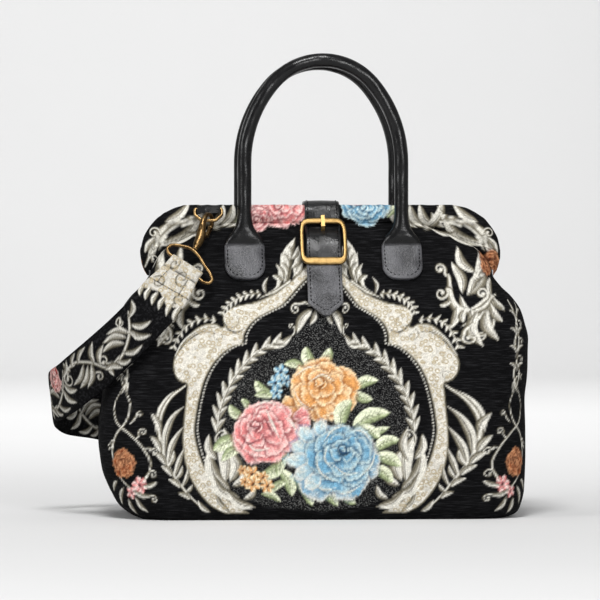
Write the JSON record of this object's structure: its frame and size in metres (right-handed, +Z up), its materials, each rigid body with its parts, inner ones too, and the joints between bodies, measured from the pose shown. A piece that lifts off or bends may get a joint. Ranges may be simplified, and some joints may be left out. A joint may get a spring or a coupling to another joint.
{
  "type": "carpet bag",
  "caption": "Soft tapestry bag with a hinged steel mouth frame, rolled carrying handles, a buckled closing strap and a clip-on shoulder strap.",
  "frame": {"origin": "middle of the base, on the floor", "axes": "+X across the bag to the right, -Y out of the front face, +Z up"},
  "size_m": [0.4342, 0.2287, 0.4117],
  "materials": {
    "tapestry": "black chenille tapestry with cream scrolls and flowers",
    "strap_tapestry": "black and cream woven tapestry",
    "lining_cloth": "plain woven cotton",
    "board": "matt",
    "frame_steel": "satin",
    "black_leather": "polished grain leather",
    "core_cord": "twisted cord",
    "antique_brass": "aged satin brass",
    "snap_steel": "satin"
  },
  "bodies": {
    "root": {"front_panel": "tapestry", "back_panel_lower": "tapestry", "base_panel": "tapestry", "base_board": "board", "lining": "lining_cloth", "front_frame": "frame_steel", "front_casing": "tapestry", "left_hinge_rivet": "frame_steel", "right_hinge_rivet": "frame_steel", "front_handle": "black_leather", "front_handle_core": "core_cord", "snap_socket": "snap_steel", "left_ring_tab": "black_leather", "left_bail": "antique_brass", "shoulder_strap": "strap_tapestry"},
    "back_half": {"back_frame": "frame_steel", "back_casing": "tapestry", "back_panel_upper": "tapestry", "back_handle": "black_leather", "back_handle_core": "core_cord", "closing_strap_base": "black_leather", "right_ring_tab": "black_leather", "right_bail": "antique_brass"},
    "closing_strap_body": {"closing_strap": "black_leather", "buckle_frame": "antique_brass", "snap_stud": "snap_steel"},
    "prong_body": {"buckle_prong": "antique_brass"},
    "left_ring_body": {"left_ring": "antique_brass"},
    "left_hook_body": {"left_hook": "antique_brass"},
    "left_gate_body": {"left_gate": "antique_brass"},
    "right_ring_body": {"right_ring": "antique_brass"},
    "right_hook_body": {"right_hook": "antique_brass"},
    "right_gate_body": {"right_gate": "antique_brass"}
  },
  "joints": [
    {"name": "mouth_hinge", "type": "hinge", "parent": "root", "child": "back_half", "pos_m": [0, 0, 0.219], "axis": [-1, 0, 0], "range_deg": [0, 55], "deforming": ["shoulder_strap"]},
    {"name": "closing_strap_fold", "type": "hinge", "parent": "back_half", "child": "closing_strap_body", "pos_m": [0, 0.001, 0.2805], "axis": [-1, 0, 0], "range_deg": [0, 138]},
    {"name": "prong_pivot", "type": "hinge", "parent": "closing_strap_body", "child": "prong_body", "pos_m": [0, -0.03164, 0.24122], "axis": [1, 0, 0], "range_deg": [0, 50]},
    {"name": "left_ring_swing", "type": "hinge", "parent": "root", "child": "left_ring_body", "pos_m": [-0.1017, -0.0221, 0.273], "axis": [1, 0, 0], "range_deg": [-3, 3]},
    {"name": "left_hook_swivel", "type": "hinge", "parent": "root", "child": "left_hook_body", "pos_m": [-0.1157, -0.04846, 0.23532], "axis": [-0.3807, -0.5439, -0.7478], "range_deg": [-8, 8]},
    {"name": "left_gate_spring", "type": "hinge", "parent": "left_hook_body", "child": "left_gate_body", "pos_m": [-0.10382, -0.03149, 0.24872], "axis": [0.8192, -0.5735, 0], "range_deg": [0, 20], "stiffness_Nm_per_rad": 0.004},
    {"name": "right_ring_swing", "type": "hinge", "parent": "back_half", "child": "right_ring_body", "pos_m": [0.1017, 0.0221, 0.273], "axis": [-1, 0, 0], "range_deg": [-3, 3]},
    {"name": "right_hook_swivel", "type": "hinge", "parent": "back_half", "child": "right_hook_body", "pos_m": [0.1157, 0.04846, 0.23532], "axis": [0.3807, 0.5439, -0.7478], "range_deg": [-8, 8]},
    {"name": "right_gate_spring", "type": "hinge", "parent": "right_hook_body", "child": "right_gate_body", "pos_m": [0.10382, 0.03149, 0.24872], "axis": [-0.8192, 0.5735, 0], "range_deg": [0, 20], "stiffness_Nm_per_rad": 0.004}
  ],
  "couplings": [
    {"joint": "closing_strap_fold", "follows": "mouth_hinge", "ratio": 2.5}
  ]
}
